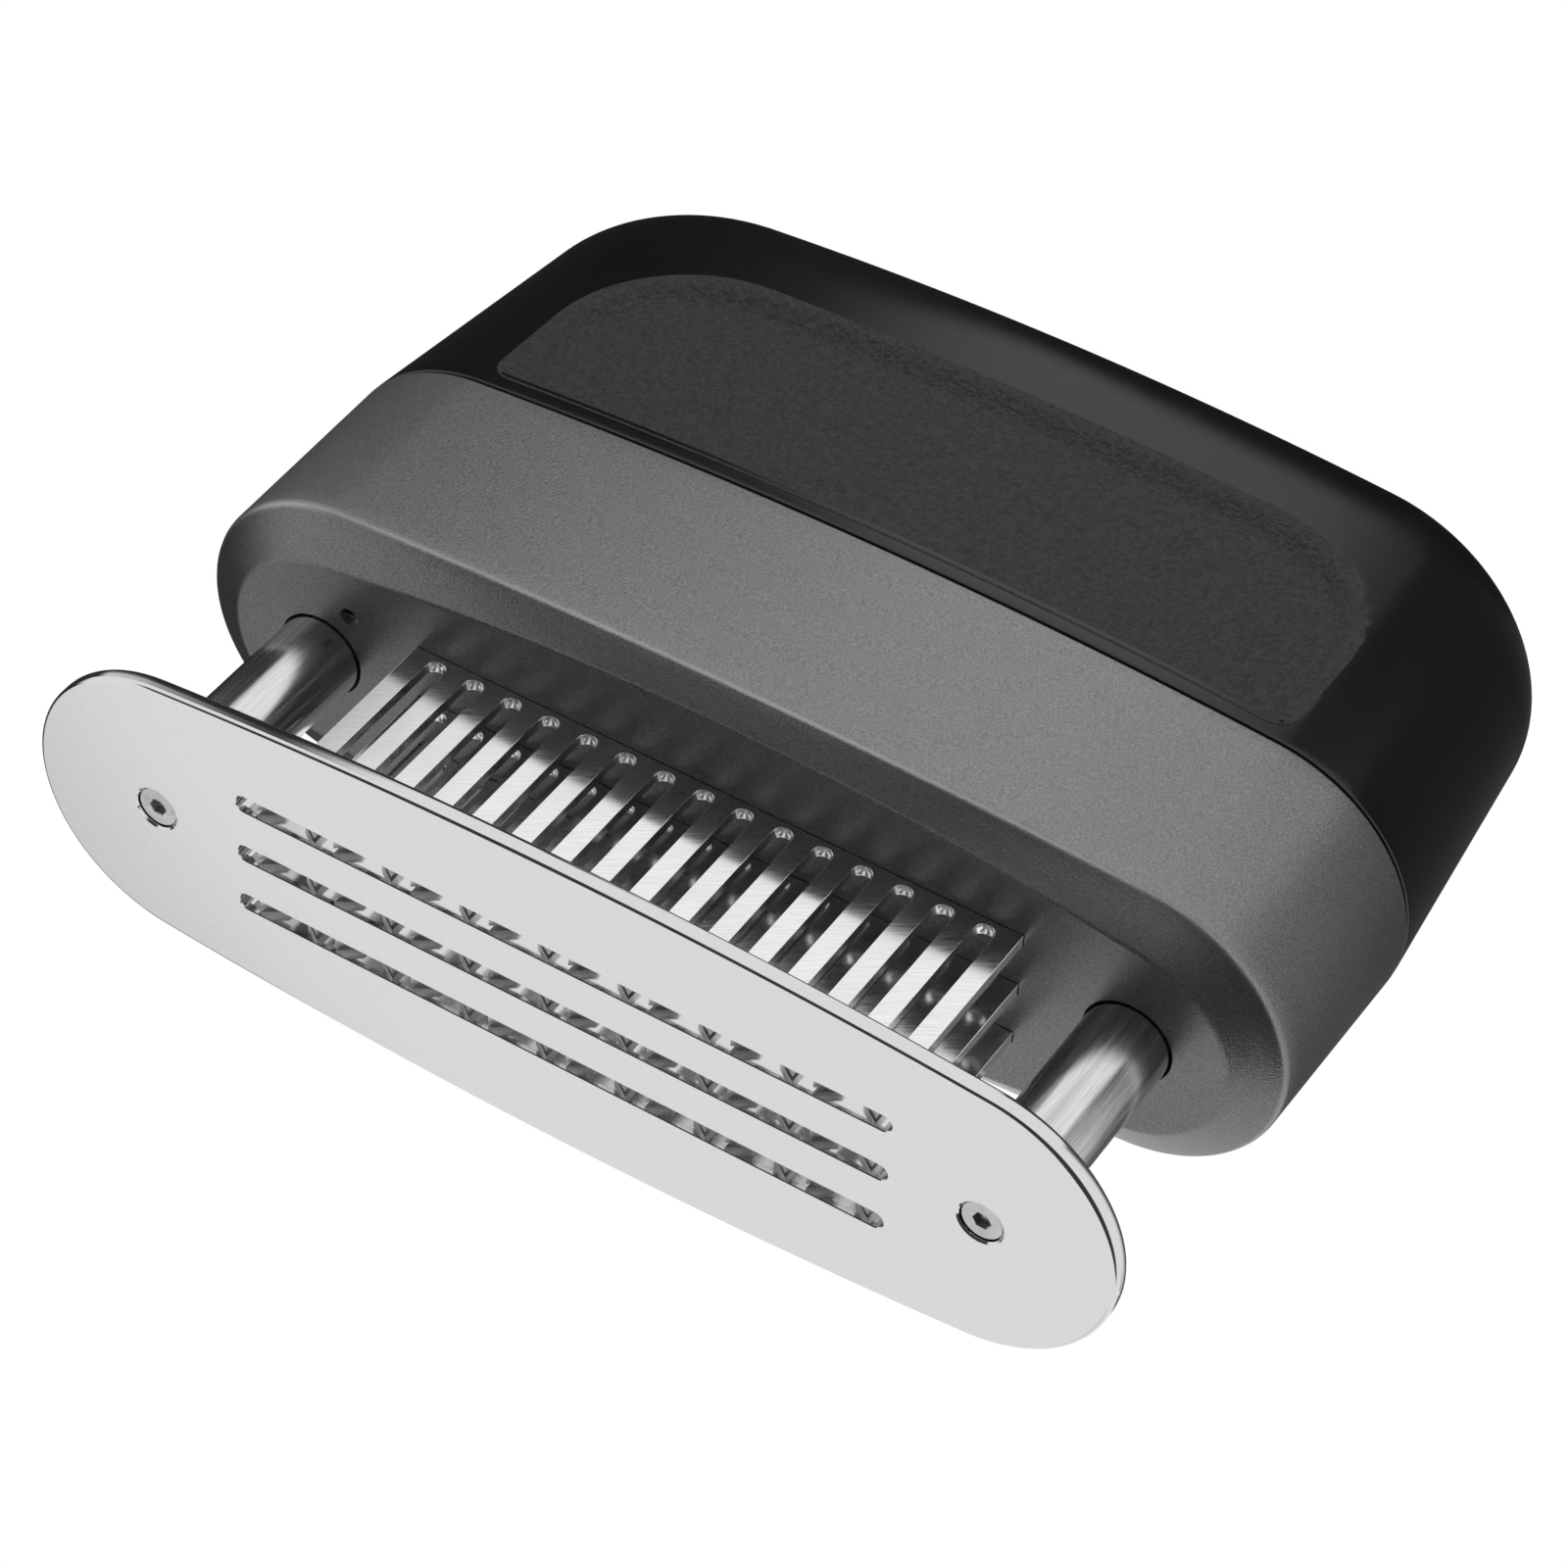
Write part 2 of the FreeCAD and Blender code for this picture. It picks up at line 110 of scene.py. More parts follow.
def roundedPath(stops, stepLength=1.5):
    # stops are (ring, radius); a corner with a radius becomes a smooth arc between its neighbours
    arcStep, longestCut, pull = 0.9, 0.98, 0.7071   # arc spacing, share of a side, and pull of the corner
    path = [stops[0][0]]
    for index in range(1, len(stops) - 1):
        corner, radius = stops[index]
        before, after = stops[index - 1][0], stops[index + 1][0]
        if radius == 0:
            path.append(corner)
            continue
        start = blendRings(corner, before, min(longestCut, radius / ringDistance(corner, before)))
        end = blendRings(corner, after, min(longestCut, radius / ringDistance(corner, after)))
        steps = max(4, int(radius / arcStep))
        for step in range(steps + 1):
            t = step / steps
            a, b, c = (1 - t) ** 2, 2 * t * (1 - t) * pull, t * t
            total = a + b + c
            path.append(tuple((a * p + b * q + c * r) / total for p, q, r in zip(start, corner, end)))
    path.append(stops[-1][0])
    dense = [path[0]]
    for ring in path[1:]:
        start = dense[-1]
        pieces = max(1, round(ringDistance(start, ring) / stepLength))
        for step in range(1, pieces + 1):
            dense.append(blendRings(start, ring, step / pieces))
    return dense


# Mesh helpers

def wrapGrid(uCount, vCount, place):
    # a grid sheet bent into shape: place(u, v) gives each vertex its spot in millimetres
    bm = bmesh.new()
    bmesh.ops.create_grid(bm, x_segments=uCount, y_segments=vCount, size=0.5)
    for vert in bm.verts:
        vert.co = place(vert.co.x + 0.5, vert.co.y + 0.5) * mm
    bmesh.ops.remove_doubles(bm, verts=bm.verts, dist=1e-6)
    return bm


def liesFlat(face):
    return max(abs(part) for part in face.normal) > 0.99999


def finish(bm, name, body, material, replaced=(), sharpAngle=32, keepFlats=False):
    # turns a bmesh into a shaded piece on its body, standing for the CAD nodes that it replaces
    bmesh.ops.recalc_face_normals(bm, faces=bm.faces)
    mesh = bpy.data.meshes.new(name)
    for edge in bm.edges:
        if len(edge.link_faces) != 2:
            continue
        first, second = edge.link_faces
        if edge.calc_face_angle(0) > math.radians(sharpAngle):
            edge.smooth = False
        elif keepFlats and liesFlat(first) != liesFlat(second):
            edge.smooth = False   # flat faces shade as true planes
    for face in bm.faces:
        face.smooth = True
    bm.to_mesh(mesh)
    bm.free()
    piece = bpy.data.objects.new(name, mesh)
    bpy.context.scene.collection.objects.link(piece)
    piece.data.materials.append(material)
    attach(piece, body)
    if replaced:
        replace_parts(piece, *replaced)
    print("made", name, len(mesh.polygons), "faces")
    return piece


def sweepRings(rings, uCount):
    # a skin over rings, one row of vertices on each
    last = len(rings) - 1

    def place(u, v):
        return ringPoint(rings[round(v * last)], u)

    return wrapGrid(uCount, last, place)


def turned(profile, x, segments):
    # profile is (radius, height) pairs; spun about a vertical axis at x
    bm = bmesh.new()
    verts = [bm.verts.new((x * mm + radius * mm, 0, height * mm)) for radius, height in profile]
    edges = [bm.edges.new(pair) for pair in zip(verts, verts[1:])]
    bmesh.ops.spin(bm, geom=verts + edges, cent=(x * mm, 0, 0), axis=(0, 0, 1),
                   angle=math.tau, steps=segments, use_merge=True)
    bmesh.ops.remove_doubles(bm, verts=bm.verts, dist=1e-7)
    return bm


# Shader groups

def newGroup(name, inputs, outputs):
    group = bpy.data.node_groups.new(name, "ShaderNodeTree")
    for socketName, kind, value in inputs:
        socket = group.interface.new_socket(name=socketName, in_out="INPUT", socket_type=kind)
        if value is not None:
            socket.default_value = value
    for socketName, kind in outputs:
        group.interface.new_socket(name=socketName, in_out="OUTPUT", socket_type=kind)
    return group, group.nodes.new("NodeGroupInput"), group.nodes.new("NodeGroupOutput")


def addNode(tree, kind, **settings):
    node = tree.nodes.new(kind)
    for key, value in settings.items():
        setattr(node, key, value)
    return node


def mathNode(tree, operation, first, second=0.0, clamp=False):
    node = addNode(tree, "ShaderNodeMath", operation=operation, use_clamp=clamp)
    for index, value in enumerate((first, second)):
        if isinstance(value, float):
            node.inputs[index].default_value = value
        else:
            tree.links.new(value, node.inputs[index])
    return node.outputs[0]


def makeGrainGroup():
    # fine even speckle, as in a metallic paint or a soft coating
    group, entry, leave = newGroup("fineGrain", [("Scale", "NodeSocketFloat", 3000.0),
                                                ("Detail", "NodeSocketFloat", 2.0)],
                                   [("Speckle", "NodeSocketFloat"), ("Cloud", "NodeSocketFloat")])
    coords = addNode(group, "ShaderNodeTexCoord")
    fine = addNode(group, "ShaderNodeTexNoise")
    fine.inputs["Roughness"].default_value = 0.6
    cloud = addNode(group, "ShaderNodeTexNoise")
    cloud.inputs["Scale"].default_value = 35.0
    cloud.inputs["Detail"].default_value = 3.0
    group.links.new(coords.outputs["Object"], fine.inputs["Vector"])
    group.links.new(coords.outputs["Object"], cloud.inputs["Vector"])
    group.links.new(entry.outputs["Scale"], fine.inputs["Scale"])
    group.links.new(entry.outputs["Detail"], fine.inputs["Detail"])
    group.links.new(fine.outputs["Fac"], leave.inputs["Speckle"])
    group.links.new(cloud.outputs["Fac"], leave.inputs["Cloud"])
    return group


def makeBrushGroup():
    # long fine lines; Stretch squeezes the pattern across the brushing direction
    group, entry, leave = newGroup("brushedLines", [("Stretch", "NodeSocketVector", (1.0, 1.0, 1.0)),
                                                    ("Turn", "NodeSocketVector", (0.0, 0.0, 0.0)),
                                                    ("Scale", "NodeSocketFloat", 900.0)],
                                   [("Lines", "NodeSocketFloat"), ("Wander", "NodeSocketFloat")])
    coords = addNode(group, "ShaderNodeTexCoord")
    turn = addNode(group, "ShaderNodeVectorRotate", rotation_type="EULER_XYZ")
    squeeze = addNode(group, "ShaderNodeVectorMath", operation="MULTIPLY")
    lines = addNode(group, "ShaderNodeTexNoise")
    lines.inputs["Detail"].default_value = 4.0
    lines.inputs["Roughness"].default_value = 0.65
    wander = addNode(group, "ShaderNodeTexNoise")
    wander.inputs["Scale"].default_value = 60.0
    group.links.new(coords.outputs["Object"], turn.inputs["Vector"])
    group.links.new(entry.outputs["Turn"], turn.inputs["Rotation"])
    group.links.new(turn.outputs[0], squeeze.inputs[0])
    group.links.new(entry.outputs["Stretch"], squeeze.inputs[1])
    group.links.new(squeeze.outputs[0], lines.inputs["Vector"])
    group.links.new(entry.outputs["Scale"], lines.inputs["Scale"])
    group.links.new(coords.outputs["Object"], wander.inputs["Vector"])
    group.links.new(lines.outputs["Fac"], leave.inputs["Lines"])
    group.links.new(wander.outputs["Fac"], leave.inputs["Wander"])
    return group


fineGrain = makeGrainGroup()
brushedLines = makeBrushGroup()
print("shader groups ready")


# Materials

def newMaterial(name, metallic=0.0):
    material = bpy.data.materials.new(name)
    material.use_nodes = True
    tree = material.node_tree
    shader = tree.nodes["Principled BSDF"]
    shader.inputs["Metallic"].default_value = metallic
    return material, tree, shader


def useGroup(tree, group, **values):
    node = tree.nodes.new("ShaderNodeGroup")
    node.node_tree = group
    for key, value in values.items():
        node.inputs[key].default_value = value
    return node


def mapTo(tree, source, low, high, fromLow=0.3, fromHigh=0.7):
    node = addNode(tree, "ShaderNodeMapRange")
    node.inputs["From Min"].default_value = fromLow
    node.inputs["From Max"].default_value = fromHigh
    node.inputs["To Min"].default_value = low
    node.inputs["To Max"].default_value = high
    tree.links.new(source, node.inputs["Value"])
    return node.outputs[0]


def mixColors(tree, factor, first, second):
    node = addNode(tree, "ShaderNodeMix", data_type="RGBA")   # its colour sockets are 6 and 7, and output 2
    for socket, value in ((node.inputs[6], first), (node.inputs[7], second)):
        if isinstance(value, tuple):
            socket.default_value = value
        else:
            tree.links.new(value, socket)
    tree.links.new(factor, node.inputs[0])
    return node.outputs[2]


def bump(tree, height, strength, distance):
    node = addNode(tree, "ShaderNodeBump")
    node.inputs["Strength"].default_value = strength
    node.inputs["Distance"].default_value = distance
    tree.links.new(height, node.inputs["Height"])
    return node.outputs[0]


def gray(value, tint=0.0):
    # a plain gray, or with a tint a slightly blue one
    return (value * (1 - tint), value, value * (1 + tint), 1.0)


def grays(tree, factor, look, tint=0.0):
    # the look's dark gray where the factor is 0, and its light gray where it is 1
    return mixColors(tree, factor, gray(look["dark"], tint), gray(look["light"], tint))


def objectHeight(tree):
    # a point's height above the plate's face, in metres
    coords = addNode(tree, "ShaderNodeTexCoord")
    parts = addNode(tree, "ShaderNodeSeparateXYZ")
    tree.links.new(coords.outputs["Object"], parts.inputs[0])
    return parts.outputs["Z"]


def connect(tree, shader, color, rough, normal):
    tree.links.new(color, shader.inputs["Base Color"])
    tree.links.new(rough, shader.inputs["Roughness"])
    tree.links.new(normal, shader.inputs["Normal"])


# Metallic paint, with a painted highlight: a lighter gray line along the bend between skirt and chamfer
baseLook = {"dark": 0.14, "light": 0.245, "paintedHighlight": 0.36, "rough": (0.27, 0.36), "grainScale": 3800.0,
            "grainDepth": 0.0001, "grainStrength": 0.5, "metallic": 0.7, "bendHeight": 0.037,
            "bendLine": (0.0001, 0.0004)}


def makeBasePaint():
    look = baseLook
    material, tree, shader = newMaterial("baseMetal", look["metallic"])
    grain = useGroup(tree, fineGrain, Scale=look["grainScale"])
    color = grays(tree, mapTo(tree, grain.outputs["Speckle"], 0, 1), look)
    # painted highlight: the paint turns lighter in a thin line at the bend's height, where the bend's
    # rounding catches the light
    away = mathNode(tree, "ABSOLUTE", mathNode(tree, "SUBTRACT", objectHeight(tree), look["bendHeight"]))
    line = mapTo(tree, away, 1.0, 0.0, *look["bendLine"])
    paintedHighlight = mathNode(tree, "MULTIPLY", line, mapTo(tree, grain.outputs["Cloud"], 0.4, 1.0), clamp=True)
    connect(tree, shader, mixColors(tree, paintedHighlight, color, gray(look["paintedHighlight"])),
            mapTo(tree, grain.outputs["Cloud"], *look["rough"]),
            bump(tree, grain.outputs["Speckle"], look["grainStrength"], look["grainDepth"]))
    return material


softLook = {"dark": 0.0025, "light": 0.0035, "rough": (0.22, 0.28), "shine": 0.5, "grainScale": 3200.0,
            "grainDepth": 0.00003, "grainStrength": 0.35}


def makeSoftTouch():
    look = softLook
    material, tree, shader = newMaterial("softTouchBlack")
    shader.inputs["Specular IOR Level"].default_value = look["shine"]
    grain = useGroup(tree, fineGrain, Scale=look["grainScale"])
    connect(tree, shader, grays(tree, mapTo(tree, grain.outputs["Cloud"], 0, 1), look),
            mapTo(tree, grain.outputs["Cloud"], *look["rough"]),
            bump(tree, grain.outputs["Speckle"], look["grainStrength"], look["grainDepth"]))
    return material


gripLook = {"dark": 0.015, "light": 0.026, "rough": (0.6, 0.78), "shine": 0.4, "grainScale": 2200.0,
            "grainDepth": 0.0003, "grainStrength": 0.8, "pebbleRange": (0.5, 1.2)}


def makeGripLeather():
    # fine moulded leather: small rounded pebbles from a cell pattern, with soft speckle over them
    look = gripLook
    material, tree, shader = newMaterial("gripLeather")
    shader.inputs["Specular IOR Level"].default_value = look["shine"]
    coords = addNode(tree, "ShaderNodeTexCoord")
    cells = addNode(tree, "ShaderNodeTexVoronoi", feature="SMOOTH_F1")
    cells.inputs["Scale"].default_value = look["grainScale"]
    tree.links.new(coords.outputs["Object"], cells.inputs["Vector"])
    grain = useGroup(tree, fineGrain, Scale=look["grainScale"] * 0.5, Detail=3.0)
    height = mathNode(tree, "ADD", cells.outputs["Distance"], grain.outputs["Speckle"])
    flat = mapTo(tree, height, 1, 0, *look["pebbleRange"])
    connect(tree, shader, grays(tree, flat, look), mapTo(tree, grain.outputs["Speckle"], *look["rough"]),
            bump(tree, height, look["grainStrength"], look["grainDepth"]))
    return material


# Steels: stretch lays the lines along or across the piece, depth is the bump's distance in metres
plateLook = {"dark": 0.66, "light": 0.70, "rough": (0.07, 0.13), "stretch": (1.0, 6.0, 6.0), "scale": 900.0,
             "depth": 0.0000004, "strength": 0.05}
postLook = {"dark": 0.6, "light": 0.82, "rough": (0.14, 0.24), "stretch": (8.0, 8.0, 0.25), "scale": 700.0,
            "depth": 0.000004, "strength": 0.2, "streak": 0.48, "streakScale": 700.0,
            "streakStretch": (1.0, 1.0, 0.03), "streakRange": (0.38, 0.56)}
bladeLook = {"dark": 0.72, "light": 0.93, "rough": (0.1, 0.24), "stretch": (0.25, 1.0, 5.0), "scale": 900.0,
             "depth": 0.000003, "strength": 0.2, "turn": 35.0, "tipHeight": 0.004, "tipTop": 0.0052,
             "tipRough": 0.55}
screwLook = {"dark": 0.42, "light": 0.6, "rough": (0.2, 0.34), "stretch": (1.0, 1.0, 1.0), "scale": 600.0,
             "depth": 0.000005, "strength": 0.3}
springLook = {"dark": 0.35, "light": 0.5, "rough": (0.25, 0.4), "stretch": (1.0, 1.0, 1.0), "scale": 900.0,
              "depth": 0.00001, "strength": 0.3}
innerLook = {"dark": 0.4, "light": 0.52, "rough": (0.3, 0.45), "stretch": (1.0, 6.0, 6.0), "scale": 900.0,
             "depth": 0.00001, "strength": 0.3}
steelTint = 0.004   # a trace of blue
steelSpread = (0.12, 0.4)   # span of the line pattern that the roughness is spread over


def makeSteel(name, look):
    material, tree, shader = newMaterial(name, 1.0)
    turn = (0.0, math.radians(look.get("turn", 0.0)), 0.0)
    lines = useGroup(tree, brushedLines, Stretch=look["stretch"], Turn=turn, Scale=look["scale"])
    color = grays(tree, mapTo(tree, lines.outputs["Lines"], 0, 1), look, steelTint)
    if "streak" in look:
        streaks = useGroup(tree, brushedLines, Stretch=look["streakStretch"], Scale=look["streakScale"])
        dull = mapTo(tree, streaks.outputs["Lines"], 1.0, 0.0, *look["streakRange"])
        color = mixColors(tree, dull, color, gray(look["streak"]))
    mixed = mathNode(tree, "MULTIPLY", lines.outputs["Lines"], lines.outputs["Wander"])
    rough = mapTo(tree, mixed, *look["rough"], *steelSpread)
    if "tipRough" in look:   # coarse ground tips
        tip = mapTo(tree, objectHeight(tree), look["tipRough"], 0.0, look["tipHeight"], look["tipTop"])
        rough = mathNode(tree, "MAXIMUM", rough, tip)
    connect(tree, shader, color, rough, bump(tree, lines.outputs["Lines"], look["strength"], look["depth"]))
    return material


gasketLook = {"dark": 0.004, "light": 0.007, "rough": (0.7, 0.85)}
innerPlasticLook = {"dark": 0.04, "light": 0.055, "rough": (0.45, 0.6)}
bushLook = {"dark": 0.62, "light": 0.7, "rough": (0.35, 0.5)}
mouldedGrain = {"scale": 1800.0, "depth": 0.00003, "strength": 0.3}


def makeMoulded(name, look):
    material, tree, shader = newMaterial(name)
    grain = useGroup(tree, fineGrain, Scale=mouldedGrain["scale"])
    connect(tree, shader, grays(tree, mapTo(tree, grain.outputs["Cloud"], 0, 1), look),
            mapTo(tree, grain.outputs["Speckle"], *look["rough"]),
            bump(tree, grain.outputs["Speckle"], mouldedGrain["strength"], mouldedGrain["depth"]))
    return material


baseMetal = makeBasePaint()
softTouch = makeSoftTouch()
gripLeather = makeGripLeather()
plateSteel = makeSteel("polishedPlate", plateLook)
postSteel = makeSteel("drawnPost", postLook)
bladeSteel = makeSteel("groundBlade", bladeLook)
screwSteel = makeSteel("turnedScrew", screwLook)
springSteel = makeSteel("drawnWire", springLook)
innerSteel = makeSteel("rolledSteel", innerLook)
gasketRubber = makeMoulded("gasketRubber", gasketLook)
innerPlastic = makeMoulded("innerPlastic", innerPlasticLook)
bushPlastic = makeMoulded("bushPlastic", bushLook)
print("materials ready:", len(bpy.data.materials))

nodeMaterials = {
    "base_screws": screwSteel, "handle_screws": screwSteel, "tie_bolts": screwSteel, "tie_nuts": screwSteel,
    "chassis_plate": innerSteel, "clamp_bar_front": innerSteel, "clamp_bar_rear": innerSteel,
    "comb_spacer_front": innerPlastic, "comb_spacer_rear": innerPlastic, "spring_cap_left": innerPlastic,
    "spring_cap_right": innerPlastic, "post_bush_left": bushPlastic, "post_bush_right": bushPlastic,
    "seam_gasket": gasketRubber, "bumper_left": gasketRubber, "bumper_right": gasketRubber,
}
for nodeName, material in nodeMaterials.items():
    nodes[nodeName].data.materials.clear()
    nodes[nodeName].data.materials.append(material)
print("finishes placed on", len(nodeMaterials), "CAD nodes")


# Handle cap with its hollow, and the pockets that the grip inlays lie in; sizes in millimetres

seamRing = (77.0, 24.3, 21.9, 66.3)   # the ring where base and handle meet

handle = {
    "bottom": 66.7, "top": 120.0, "endDraft": 0.09, "sideDraft": 0.06, "endRounding": 15.3,
    "sideReach": 11.0, "sideRounding": 3.0, "topRows": 26, "closingRows": 7, "columns": 420,
    "seamRounding": 0.45, "lip": 3.0, "lipHeight": 1.0, "lipTop": 2.0, "wallFoot": 6.0, "wall": 5.5,
    "crown": 8.0, "hollowSpacing": 5.0, "spacing": 0.9,
    "pocketStart": 0.9, "pocketDepth": 2.2, "pocketRun": 1.2, "pocketInnerY": 10.0,
}

grip = {
    "low": 68.8, "high": 104.3, "half": 57.0, "footRadius": 3.0, "shoulderRadius": 20.0, "cornerSteps": 16,
    "lip": 0.9, "rise": 0.05, "dishDepth": 1.6, "dishRun": 4.2, "dishFoot": 12.0, "footLip": 0.3,
    "footRun": 0.9, "thickness": 0.4, "around": 380, "rows": 40, "crowding": 1.7,
}


def handleRing(height, endInset=0.0, sideInset=0.0):
    # the handle's drafted outline at a height, with its ends and sides drawn in
    halfLength, halfWidth, endRadius, seamHeight = seamRing
    rise = height - seamHeight
    width = halfWidth - handle["sideDraft"] * rise - sideInset
    return (halfLength - handle["endDraft"] * rise - endInset, width, width * endRadius / halfWidth, height)


def arcInset(drop, reach, depth):
    # how far a quarter round, this high and this deep, has drawn in at a drop below the top
    left = max(0.0, 1 - drop / reach)
    return depth * (1 - math.sqrt(1 - left ** 2))


def topRing(drop):
    # the outline at a drop below the handle's top, where its rounding draws it in
    endInset = arcInset(drop, handle["endRounding"], handle["endRounding"])
    sideInset = arcInset(drop, handle["sideReach"], handle["sideRounding"])
    return handleRing(handle["top"] - drop, endInset, sideInset)


def smoothRamp(value, run):
    t = min(1.0, max(0.0, value / run))
    return t * t * (3 - 2 * t)


def gripInside(x, z, low):
    # how far inside the grip's outline, with its foot at low, a point lies; negative outside
    high, half = grip["high"], grip["half"]
    middle = (low + high) / 2
    radius = grip["shoulderRadius"] if z > middle else grip["footRadius"]
    qx = abs(x) - half + radius
    qz = abs(z - middle) - (high - low) / 2 + radius
    outside = math.hypot(max(qx, 0), max(qz, 0))
    return radius - outside - min(max(qx, qz), 0)


def makeHandle():
    bottom, lip, rounding = handle["bottom"], handle["lip"], handle["endRounding"]
    wall, crown, steps = handle["wall"], handle["crown"], handle["topRows"]
    hollow = [(handleRing(handle["top"] - crown, crown, wall), 0),
              (handleRing(bottom + handle["wallFoot"], wall, wall), 0),
              (handleRing(bottom + handle["lipTop"], lip, lip), 0)]
    rings = roundedPath(hollow, handle["hollowSpacing"])
    hidden = len(rings)   # rows of the hollow's surface, which the pockets leave alone
    stops = [(handleRing(bottom + handle["lipHeight"], lip, lip), 0), (handleRing(bottom, lip, lip), 0),
             (handleRing(bottom), handle["seamRounding"]), (topRing(rounding), 0)]
    rings += roundedPath(stops, handle["spacing"])
    for step in range(1, steps + 1):
        rings.append(topRing(rounding * (1 - math.sin(math.pi / 2 * step / steps))))
    last = len(rings) - 1
    closing = handle["closingRows"]   # rows that close the flat top, and as many for the hollow's top

    def place(u, v):
        row = round(v * (last + 2 * closing)) - closing
        share = 1.0
        if row < 0:
            share, row = 1 + row / closing, 0
        if row > last:
            share, row = 1 - (row - last) / closing, last
        point = ringPoint(rings[row], u)
        point.y *= share
        inside = gripInside(point.x, point.z, grip["low"])
        if inside > 0 and row > hidden and abs(point.y) > handle["pocketInnerY"]:
            pocket = handle["pocketDepth"] * smoothRamp(inside - handle["pocketStart"], handle["pocketRun"])
            point.y -= math.copysign(pocket, point.y)
        return point

    bm = wrapGrid(handle["columns"], last + 2 * closing, place)
    finish(bm, "handleCap", "housing", softTouch, ["handle_shell"])


def gripOutline():
    # the grip's outline in the X-Z plane, walked at an even pace
    low, high, half = grip["low"], grip["high"], grip["half"]
    foot, crown, steps = grip["footRadius"], grip["shoulderRadius"], grip["cornerSteps"]
    corners = [(half - foot, low + foot, foot, -90), (half - crown, high - crown, crown, 0),
               (crown - half, high - crown, crown, 90), (foot - half, low + foot, foot, 180)]
    knots = []
    for x, z, radius, start in corners:
        for step in range(steps + 1):
            angle = math.radians(start + 90 * step / steps)
            knots.append((x + radius * math.cos(angle), z + radius * math.sin(angle)))
    knots.append(knots[0])
    lengths = [0.0]
    for a, b in zip(knots, knots[1:]):
        lengths.append(lengths[-1] + math.dist(a, b))

    def at(u):
        goal = u * lengths[-1]
        index = min(len(knots) - 2, max(i for i, length in enumerate(lengths) if length <= goal + 1e-9))
        share = (goal - lengths[index]) / (lengths[index + 1] - lengths[index])
        return tuple(a + (b - a) * share for a, b in zip(knots[index], knots[index + 1]))

    return at


def makeGrip(name, node, side):
    around, low = grip["around"], grip["low"]
    walk = gripOutline()
    outline = [walk(index / around) for index in range(around)]
    spine = grip["half"] - (grip["high"] - low) / 2   # the rows close on a line this far to each side
    centreZ = (low + grip["high"]) / 2

    def place(u, v):
        x0, z0 = outline[round(u * around) % around]
        centreX = max(-spine, min(spine, x0))
        amount = v ** grip["crowding"]   # rows crowd towards the rim
        x, z = x0 + (centreX - x0) * amount, z0 + (centreZ - z0) * amount
        inside = gripInside(x, z, low - grip["dishFoot"]) - grip["lip"]
        depth = grip["dishDepth"] * smoothRamp(inside, grip["dishRun"])
        depth *= smoothRamp(z - low - grip["footLip"], grip["footRun"])
        return Vector((x, side * (ringYAt(handleRing(z), x) + grip["rise"] - depth), z))

    bm = wrapGrid(around, grip["rows"], place)
    bmesh.ops.recalc_face_normals(bm, faces=bm.faces)
    if next(iter(bm.faces)).normal.y * side < 0:
        bmesh.ops.reverse_faces(bm, faces=bm.faces)
    bmesh.ops.solidify(bm, geom=bm.faces, thickness=grip["thickness"] * mm)
    finish(bm, name, "housing", gripLeather, [node], sharpAngle=60)


makeHandle()
makeGrip("gripInlayFront", "grip_pad_front", -1)
makeGrip("gripInlayRear", "grip_pad_rear", 1)


# Base shell, and the places that it shares with the plate, the posts and the combs

postX = 57.5   # the posts' place to each side of the middle
rowPitch = 8.2   # from one blade row to the next

base = {
    "floor": (70.5, 19.7, 14.5, 33.5), "bend": (76.5, 22.9, 20.9, 37.0), "floorRounding": 0.5,
    "bendRounding": 0.8, "seamRounding": 0.25, "floorEdge": 1.5, "floorThickness": 2.5, "lip": 2.2,
    "innerInset": 3.0, "innerFoot": 40.0, "around": 320, "spacing": 2.2,
    "postHole": 6.0, "combHalf": 42.95, "combSlot": 0.9, "screwHole": 1.3, "screwX": 53.1, "screwY": 8.4,
    "screwSteps": 24,
}


def addLoop(bm, points):
    # a closed loop of edges through points in millimetres
    verts = [bm.verts.new(point * mm) for point in points]
    return [bm.edges.new((a, b)) for a, b in zip(verts, verts[1:] + verts[:1])]


def circlePoints(radius, x, y, z, count=48):
    turns = [math.tau * index / count for index in range(count)]
    return [Vector((x + radius * math.cos(turn), y + radius * math.sin(turn), z)) for turn in turns]


def slotPoints(half, halfWidth, y, z, cornerSteps=0):
    # a slot along X, with square ends or, given steps, round ones
    if cornerSteps == 0:
        return [Vector((-half, y - halfWidth, z)), Vector((half, y - halfWidth, z)),
                Vector((half, y + halfWidth, z)), Vector((-half, y + halfWidth, z))]
    points = []
    for side in (1, -1):
        for step in range(cornerSteps + 1):
            angle = math.pi * step / cornerSteps - math.pi / 2
            points.append(Vector((side * (half - halfWidth + halfWidth * math.cos(angle)),
                                  y + side * halfWidth * math.sin(angle), z)))
    return points


def raiseLoop(bm, edges, height):
    # a wall straight up from a loop
    grown = bmesh.ops.extrude_edge_only(bm, edges=edges)["geom"]
    verts = [item for item in grown if isinstance(item, bmesh.types.BMVert)]
    bmesh.ops.translate(bm, verts=verts, vec=(0, 0, height * mm))


